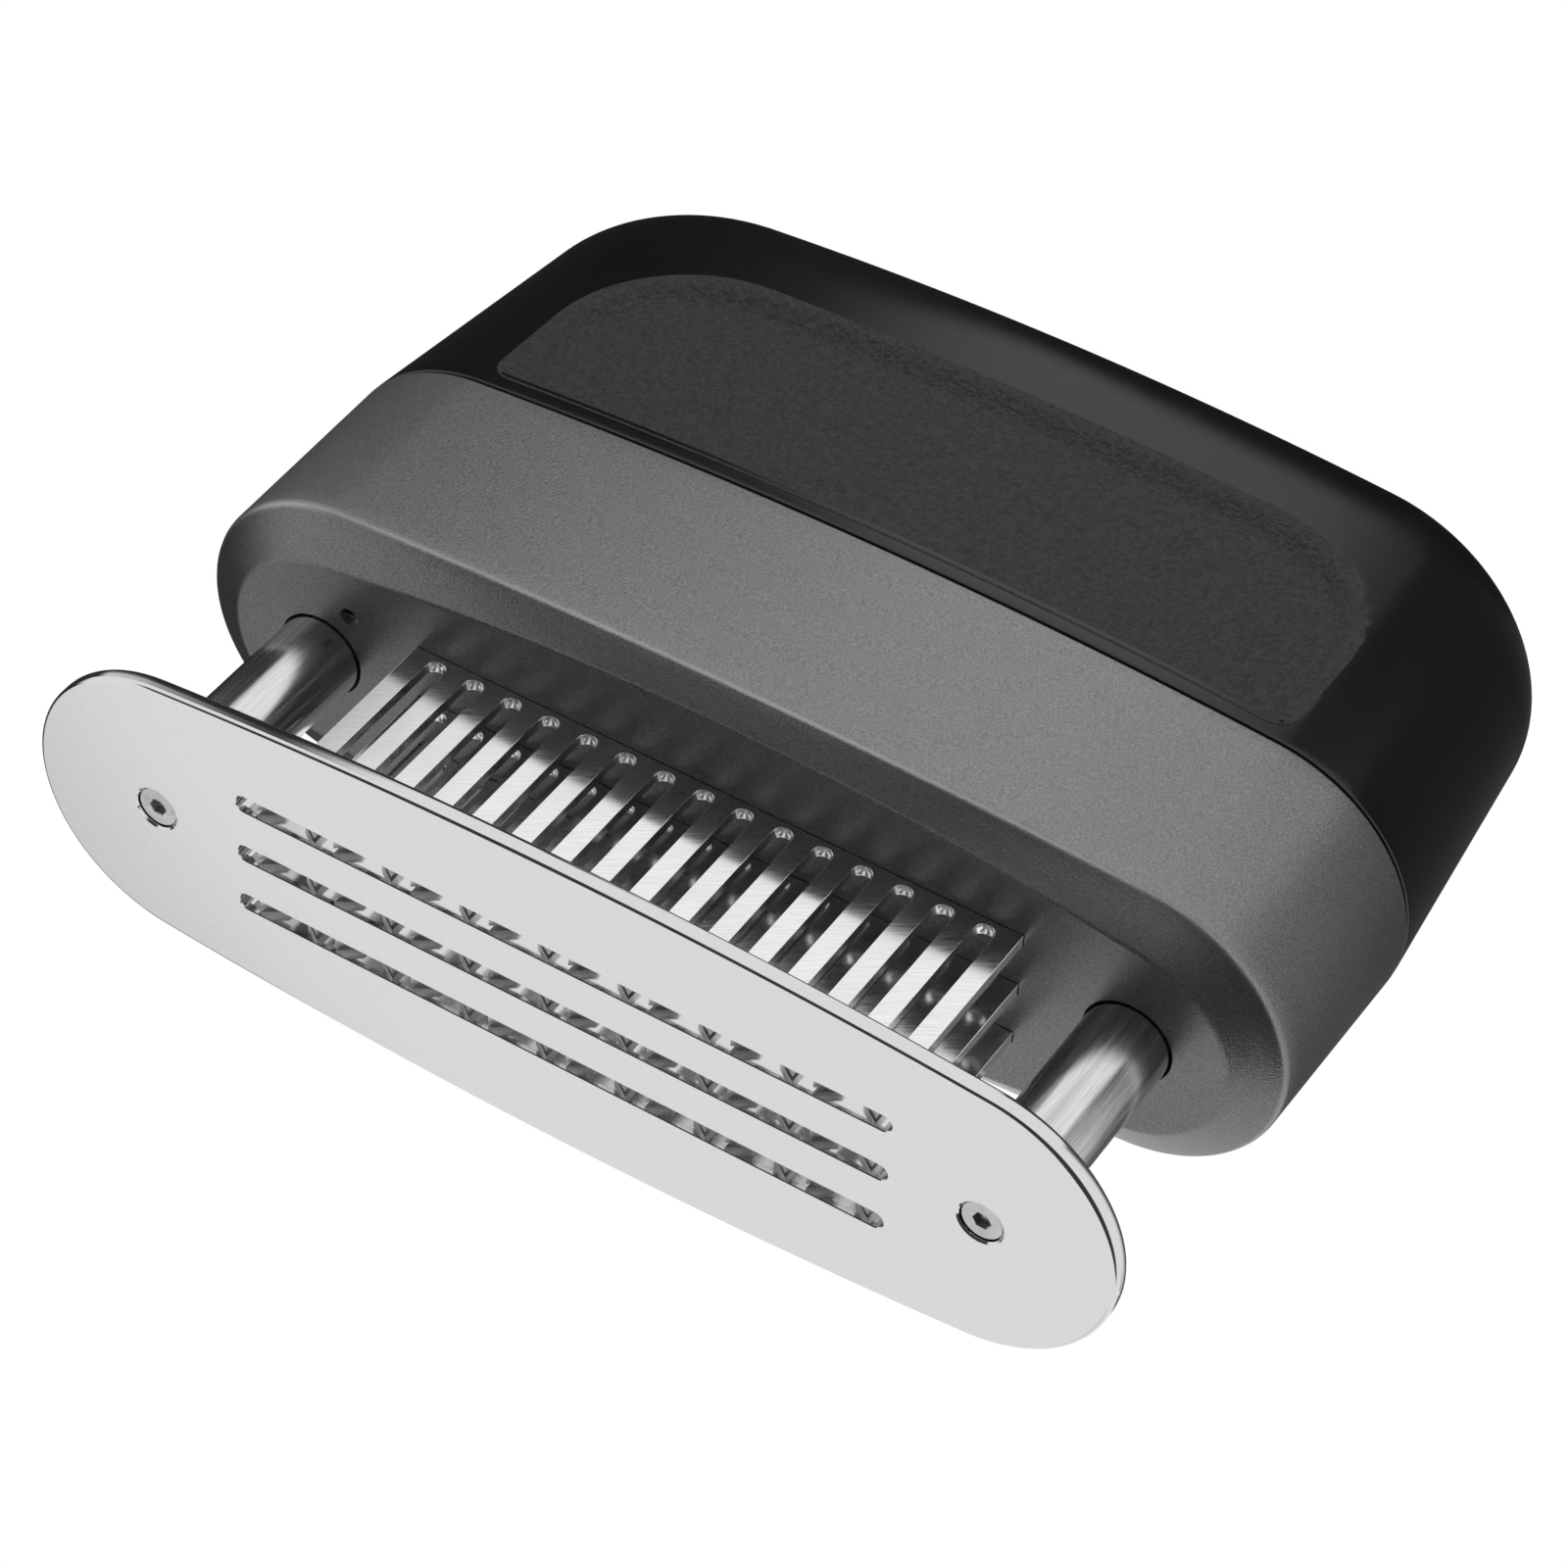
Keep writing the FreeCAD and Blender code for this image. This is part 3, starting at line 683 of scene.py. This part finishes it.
def makeBase():
    floor, bend = base["floor"], base["bend"]
    z = floor[3]
    stops = [(inset(floor, base["floorEdge"]), 0), (floor, base["floorRounding"]),
             (bend, base["bendRounding"]), (seamRing, base["seamRounding"]),
             (inset(seamRing, base["lip"]), 0), (inset(bend, base["innerInset"], base["innerFoot"]), 0)]
    bm = sweepRings(roundedPath(stops, base["spacing"]), base["around"])
    rim = [edge for edge in bm.edges if edge.is_boundary
           and all(abs(vert.co.z - z * mm) < 1e-6 for vert in edge.verts)]
    holes = []
    for side in (-1, 1):
        postHole = circlePoints(base["postHole"], side * postX, 0, z)
        screwHole = circlePoints(base["screwHole"], side * base["screwX"], side * base["screwY"], z,
                                 base["screwSteps"])
        holes += [addLoop(bm, postHole), addLoop(bm, screwHole)]
    for row in (-1, 0, 1):
        holes.append(addLoop(bm, slotPoints(base["combHalf"], base["combSlot"], row * rowPitch, z)))
    every = rim + [edge for loop in holes for edge in loop]
    bmesh.ops.triangle_fill(bm, use_beauty=True, use_dissolve=False, edges=every, normal=(0, 0, -1))
    for loop in holes:
        raiseLoop(bm, loop, base["floorThickness"])
    finish(bm, "baseSkirt", "housing", baseMetal, ["base_shell"], keepFlats=True)


makeBase()


# Guard plate with its slots and screw seats

plate = {
    "halfLength": 75.0, "halfWidth": 22.5, "endRadius": 19.8, "thickness": 2.6, "rimRounding": 0.75,
    "rimEdge": 0.8, "around": 320, "spacing": 0.6,
    "slotHalf": 45.35, "slotHalfWidth": 1.2, "slotBreak": 0.12, "slotSteps": 10,
    "seatRadius": 2.9, "seatDepth": 1.7, "seatBreak": 0.25, "screwHole": 1.6,
}


def growLoop(loop, amount, rise):
    # a copy of a loop of points, moved out from its own middle and up
    middle = sum(loop, Vector()) / len(loop)
    grown = []
    for before, point, after in zip(loop[-1:] + loop[:-1], loop, loop[1:] + loop[:1]):
        along = after - before
        out = Vector((along.y, -along.x, 0)).normalized()
        if out.dot(point - middle) < 0:
            out = -out
        grown.append(point + out * amount + Vector((0, 0, rise)))
    return grown


def bridgeDown(bm, loops):
    # joins each loop of points to the next one; gives back the first and last edge loops
    rows = [addLoop(bm, loop) for loop in loops]
    for first, second in zip(rows, rows[1:]):
        bmesh.ops.bridge_loops(bm, edges=first + second)
    return rows[0], rows[-1]


def makePressPlate():
    small, thick, rounding = plate["slotBreak"], plate["thickness"], plate["rimRounding"]
    low = (plate["halfLength"], plate["halfWidth"], plate["endRadius"], 0.0)
    high = inset(low, 0, thick)
    stops = [(inset(low, plate["rimEdge"]), 0), (low, rounding), (high, rounding),
             (inset(high, plate["rimEdge"]), 0)]
    bm = sweepRings(roundedPath(stops, plate["spacing"]), plate["around"])
    rim = [edge for edge in bm.edges if edge.is_boundary]
    lowEdges = [edge for edge in rim if edge.verts[0].co.z < thick / 2 * mm]
    highEdges = [edge for edge in rim if edge.verts[0].co.z > thick / 2 * mm]
    for row in (-1, 0, 1):
        mouth = slotPoints(plate["slotHalf"], plate["slotHalfWidth"], row * rowPitch, 0, plate["slotSteps"])
        loops = [growLoop(mouth, small, 0), growLoop(mouth, 0, small), growLoop(mouth, 0, thick - small),
                 growLoop(mouth, small, thick)]
        first, last = bridgeDown(bm, loops)
        lowEdges += first
        highEdges += last
    for side in (-1, 1):
        seat, edge, depth = plate["seatRadius"], plate["seatBreak"], plate["seatDepth"]
        radii = [(seat + edge, 0), (seat, edge), (seat, depth), (plate["screwHole"], depth),
                 (plate["screwHole"], thick)]
        first, last = bridgeDown(bm, [circlePoints(radius, side * postX, 0, z) for radius, z in radii])
        lowEdges += first
        highEdges += last
    bmesh.ops.triangle_fill(bm, use_beauty=True, edges=lowEdges, normal=(0, 0, -1))
    bmesh.ops.triangle_fill(bm, use_beauty=True, edges=highEdges, normal=(0, 0, 1))
    finish(bm, "pressPlate", "guard", plateSteel, ["press_plate"], keepFlats=True)


makePressPlate()


# Plate screws: a ringed head with a hex socket, and a plain shank

plateScrew = {"headRadius": 2.75, "headLow": 0.4, "headHigh": 1.7, "edge": 0.16, "socketWidth": 2.0,
              "socketDepth": 0.8, "socketBreak": 0.12, "shankRadius": 1.5, "length": 9.0, "around": 64}


def makePlateScrew(name, x):
    screw = plateScrew
    low, high, edge, small = screw["headLow"], screw["headHigh"], screw["edge"], screw["socketBreak"]
    corner = screw["socketWidth"] / math.sqrt(3)   # from the hexagon's middle to its corners
    bm = bmesh.new()
    hexagons = [(corner + small, low), (corner, low + small), (corner, low + screw["socketDepth"])]
    mouth, bottom = bridgeDown(bm, [circlePoints(radius, x, 0, z, 6) for radius, z in hexagons])
    bmesh.ops.triangle_fill(bm, edges=bottom, normal=(0, 0, -1))
    radii = [(screw["headRadius"] - edge, low), (screw["headRadius"] - edge * 0.3, low + edge * 0.3),
             (screw["headRadius"], low + edge), (screw["headRadius"], high), (screw["shankRadius"], high),
             (screw["shankRadius"], high + screw["length"])]
    face, end = bridgeDown(bm, [circlePoints(radius, x, 0, z, screw["around"]) for radius, z in radii])
    bmesh.ops.triangle_fill(bm, use_beauty=True, edges=face + mouth, normal=(0, 0, -1))
    bmesh.ops.triangle_fill(bm, edges=end, normal=(0, 0, 1))
    return finish(bm, name, "guard", screwSteel, keepFlats=True, sharpAngle=40)


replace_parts(makePlateScrew("plateScrewLeft", -postX), "plate_screws")   # one node holds both screws
makePlateScrew("plateScrewRight", postX)


# Guide posts

post = {"radius": 5.7, "foot": 2.6, "flangeLow": 54.6, "flangeHigh": 56.6, "flangeRadius": 7.3, "bore": 4.3,
        "boreFloor": 12.0, "chamfer": 0.35, "rows": 8, "rowHeight": 6.4, "around": 96}


def makeGuidePost(name, node, side):
    radius, foot, chamfer, bore = post["radius"], post["foot"], post["chamfer"], post["bore"]
    flange, low, high = post["flangeRadius"], post["flangeLow"], post["flangeHigh"]
    profile = [(0.0, foot), (radius - chamfer, foot)]
    profile += [(radius, foot + chamfer + row * post["rowHeight"]) for row in range(post["rows"])]
    profile += [(radius, low), (flange, low), (flange, high), (bore, high), (bore, post["boreFloor"]),
                (0.0, post["boreFloor"])]
    bm = turned(profile, side * postX, post["around"])
    finish(bm, name, "guard", postSteel, [node])


makeGuidePost("guidePostLeft", "guide_post_left", -1)
makeGuidePost("guidePostRight", "guide_post_right", 1)


# Return springs inside the posts, each coiled between the ends of its CAD node and kept on a mesh of its own

spring = {"diameter": 8.0, "wire": 1.0, "turns": 22, "stepsPerTurn": 28, "around": 12, "travel": 30.0}


def makeReturnSpring(name, node, side):
    low, high = [corner[2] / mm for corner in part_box(node)]
    wire = spring["wire"] / 2
    reach = spring["diameter"] / 2 - wire

    def place(u, v):
        # u goes round the wire and v along the coil
        turn, around = math.tau * spring["turns"] * v, math.tau * u
        out = Vector((math.cos(turn), math.sin(turn), 0))
        height = low + wire + (high - low - 2 * wire) * v + wire * math.sin(around)
        return out * (reach + wire * math.cos(around)) + Vector((side * postX, 0, height))

    bm = wrapGrid(spring["around"], spring["turns"] * spring["stepsPerTurn"], place)
    bmesh.ops.holes_fill(bm, edges=[edge for edge in bm.edges if edge.is_boundary])
    piece = finish(bm, name, "housing", springSteel, [node], sharpAngle=60)
    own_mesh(piece)


makeReturnSpring("returnSpringLeft", "return_spring_left", -1)
makeReturnSpring("returnSpringRight", "return_spring_right", 1)


# Blade combs

comb = {"count": 16, "half": 42.855, "tineWidth": 2.76, "thickness": 1.6, "root": 31.215, "floorTop": 36.0,
        "spineTop": 50.0, "shoulder": 2.0, "tipLow": 0.8, "tipRise": 2.0, "edgeBreak": 0.05, "rootSteps": 10}


def combOutline():
    # the comb's outline in the X-Z plane, from the spine's left end round the tines to its right end
    half, width, root, steps = comb["half"], comb["tineWidth"], comb["root"], comb["rootSteps"]
    pitch = (2 * half - width) / (comb["count"] - 1)
    gap = pitch - width
    points = [(-half - comb["shoulder"], comb["spineTop"]), (-half - comb["shoulder"], comb["floorTop"]),
              (-half, comb["floorTop"])]
    for index in range(comb["count"]):
        left = -half + index * pitch
        tips = [comb["tipLow"], comb["tipLow"] + comb["tipRise"]]
        if index % 2:
            tips.reverse()
        points += [(left, tips[0]), (left + width, tips[1])]
        if index < comb["count"] - 1:
            middle = left + width + gap / 2
            for step in range(steps + 1):
                angle = math.pi * (1 - step / steps)
                points.append((middle + gap / 2 * math.cos(angle), root + gap / 2 * math.sin(angle)))
    points += [(half, comb["floorTop"]), (half + comb["shoulder"], comb["floorTop"]),
               (half + comb["shoulder"], comb["spineTop"])]
    return points


def makeBladeComb(name, node, row):
    front = row - comb["thickness"] / 2
    bm = bmesh.new()
    verts = [bm.verts.new(Vector((x, front, z)) * mm) for x, z in combOutline()]
    face = bm.faces.new(verts)
    grown = bmesh.ops.extrude_face_region(bm, geom=[face])["geom"]
    moved = [item for item in grown if isinstance(item, bmesh.types.BMVert)]
    bmesh.ops.translate(bm, verts=moved, vec=(0, comb["thickness"] * mm, 0))
    rims = [edge for edge in bm.edges if abs(edge.verts[0].co.y - edge.verts[1].co.y) < 1e-7]
    bmesh.ops.bevel(bm, geom=rims, offset=comb["edgeBreak"] * mm, segments=2, profile=0.5, affect="EDGES",
                    material=-1)
    bmesh.ops.triangulate(bm, faces=[flank for flank in bm.faces if len(flank.verts) > 8])
    finish(bm, name, "housing", bladeSteel, [node], keepFlats=True, sharpAngle=50)


for rowName, rowNumber in (("Front", -1), ("Middle", 0), ("Rear", 1)):
    makeBladeComb("bladeComb" + rowName, "blade_comb_" + rowName.lower(), rowNumber * rowPitch)


# Camera, at the photograph's viewing angle

cameraSettings = {"place": (0.2150, -0.4184, -0.3272), "angles": (137.426, -32.196, -3.137), "lens": 113.4}
camera = bpy.data.objects.new("camera", bpy.data.cameras.new("camera"))
camera.location = cameraSettings["place"]
camera.rotation_euler = [math.radians(angle) for angle in cameraSettings["angles"]]
camera.data.lens = cameraSettings["lens"]
camera.data.sensor_width = 36.0
camera.data.clip_start = 0.01
bpy.context.scene.collection.objects.link(camera)
bpy.context.scene.camera = camera
print("camera placed")


# Floor, world and lamps

studio = {"middle": (0.0, 0.0, 0.06), "floorDrop": 0.0003, "floorSize": 3.0, "floorGray": 0.82,
          "worldGray": 0.15}
lamps = {
    "keyLamp": {"place": (0.0, -0.75, 0.4), "size": (0.5, 0.4), "watts": 9.8},
    "lowLeftLamp": {"place": (-0.55, -0.35, -0.45), "size": (0.3, 0.3), "watts": 0.5},
    "lowRightLamp": {"place": (0.4, 0.5, -0.5), "size": (0.3, 0.3), "watts": 0.4},
}


def makeFloor():
    # seen from above it is a pale floor with shadows; from below it isn't there
    bm = bmesh.new()
    bmesh.ops.create_grid(bm, x_segments=1, y_segments=1, size=studio["floorSize"])
    mesh = bpy.data.meshes.new("floor")
    bm.to_mesh(mesh)
    bm.free()
    floor = bpy.data.objects.new("floor", mesh)
    floor.location.z = -studio["floorDrop"]
    bpy.context.scene.collection.objects.link(floor)
    material = bpy.data.materials.new("paleFloor")
    material.use_nodes = True
    tree = material.node_tree
    tree.nodes.clear()
    output = tree.nodes.new("ShaderNodeOutputMaterial")
    diffuse = tree.nodes.new("ShaderNodeBsdfDiffuse")
    diffuse.inputs["Color"].default_value = gray(studio["floorGray"])
    clear = tree.nodes.new("ShaderNodeBsdfTransparent")
    mix = tree.nodes.new("ShaderNodeMixShader")
    path = tree.nodes.new("ShaderNodeLightPath")
    geometry = tree.nodes.new("ShaderNodeNewGeometry")
    front = mathNode(tree, "SUBTRACT", 1.0, geometry.outputs["Backfacing"])
    seen = mathNode(tree, "MULTIPLY", front, path.outputs["Is Camera Ray"])
    tree.links.new(seen, mix.inputs[0])
    tree.links.new(clear.outputs[0], mix.inputs[1])
    tree.links.new(diffuse.outputs[0], mix.inputs[2])
    tree.links.new(mix.outputs[0], output.inputs["Surface"])
    floor.data.materials.append(material)


# Cards round the object, seen only in its reflections: azimuth and elevation of two corners, and gray level
cardDistance, cardGap, cardFade = 220.0, 2.0, 7.0   # millimetres, millimetres and degrees
cards = {
    "leftCard": ((119, -30), (184, 75), 0.03), "frontLeftCard": ((170, 9), (232, 75), 0.03),
    "wallCard": ((222, 29), (245, 50), 0.03), "topCard": ((-180, 61), (180, 90), 0.02),
    "rightCard": ((-86, 34), (-24, 75), 0.08), "endCard": ((-38, 16), (86, 75), 0.1),
    "lowCard": ((-150, -72), (35, -18), 0.05), "behindCard": ((50, -43), (168, -24), 0.8),
}


def makeCardMaterial(name, level):
    # the card fades out towards its edges, so reflections have soft borders
    material = bpy.data.materials.new(name)
    material.use_nodes = True
    tree = material.node_tree
    tree.nodes.clear()
    output = tree.nodes.new("ShaderNodeOutputMaterial")
    glow = tree.nodes.new("ShaderNodeEmission")
    glow.inputs["Color"].default_value = gray(level)
    clear = tree.nodes.new("ShaderNodeBsdfTransparent")
    mix = tree.nodes.new("ShaderNodeMixShader")
    cover = addNode(tree, "ShaderNodeAttribute", attribute_name="cover")
    tree.links.new(cover.outputs["Fac"], mix.inputs[0])
    tree.links.new(clear.outputs[0], mix.inputs[1])
    tree.links.new(glow.outputs[0], mix.inputs[2])
    tree.links.new(mix.outputs[0], output.inputs["Surface"])
    return material


def makeCard(name, index, first, second, level):
    distance = cardDistance + cardGap * index   # no two at one distance
    wide, tall = second[0] - first[0], second[1] - first[1]

    def at(u, v):
        azimuth = math.radians(first[0] + wide * u)
        height = math.radians(first[1] + tall * v)
        flat = math.cos(height)
        return Vector((flat * math.cos(azimuth), flat * math.sin(azimuth), math.sin(height))) * distance

    mesh = bpy.data.meshes.new(name)
    bm = wrapGrid(round(wide), round(tall), at)
    bm.to_mesh(mesh)
    bm.free()
    cover = mesh.attributes.new("cover", "FLOAT", "POINT")
    for vert in mesh.vertices:
        azimuth = math.degrees(math.atan2(vert.co.y, vert.co.x))
        along = (azimuth - first[0]) % 360
        up = math.degrees(math.asin(max(-1.0, min(1.0, vert.co.z / (distance * mm))))) - first[1]
        reach = up if second[1] == 90 else min(up, tall - up)   # a card that ends overhead has no upper edge
        if wide < 360:
            reach = min(reach, along, wide - along)
        cover.data[vert.index].value = smoothRamp(reach, cardFade)
    card = bpy.data.objects.new(name, mesh)
    card.location = studio["middle"]
    bpy.context.scene.collection.objects.link(card)
    card.data.materials.append(makeCardMaterial(name, level))
    card.visible_camera = False
    card.visible_diffuse = False
    card.visible_transmission = False
    card.visible_shadow = False


def makeWorld():
    # plain gray light for diffuse surfaces; the eye, metal and glass see a white room
    world = bpy.data.worlds.new("studio")
    bpy.context.scene.world = world
    world.use_nodes = True
    tree = world.node_tree
    background = tree.nodes["Background"]
    path = tree.nodes.new("ShaderNodeLightPath")
    seen = mathNode(tree, "MAXIMUM", path.outputs["Is Camera Ray"], path.outputs["Is Transmission Ray"])
    seen = mathNode(tree, "MAXIMUM", seen, path.outputs["Is Glossy Ray"])
    tree.links.new(mixColors(tree, seen, gray(studio["worldGray"]), gray(1.0)), background.inputs["Color"])
    background.inputs["Strength"].default_value = 1.0


def addLamp(name, place, size, watts):
    data = bpy.data.lights.new(name, "AREA")
    data.shape = "RECTANGLE"
    data.size, data.size_y = size
    data.energy = watts
    lamp = bpy.data.objects.new(name, data)
    lamp.location = place
    lamp.visible_glossy = False   # the white room is what metal mirrors
    lamp.rotation_euler = (Vector(studio["middle"]) - Vector(place)).to_track_quat("-Z", "Y").to_euler()
    bpy.context.scene.collection.objects.link(lamp)


makeFloor()
for cardIndex, (cardName, cardShape) in enumerate(cards.items()):
    makeCard(cardName, cardIndex, *cardShape)
makeWorld()
for lampName, lampSettings in lamps.items():
    addLamp(lampName, **lampSettings)
print("studio ready:", len(cards), "cards and", len(lamps), "lamps")

bpy.context.scene.view_settings.view_transform = "Standard"
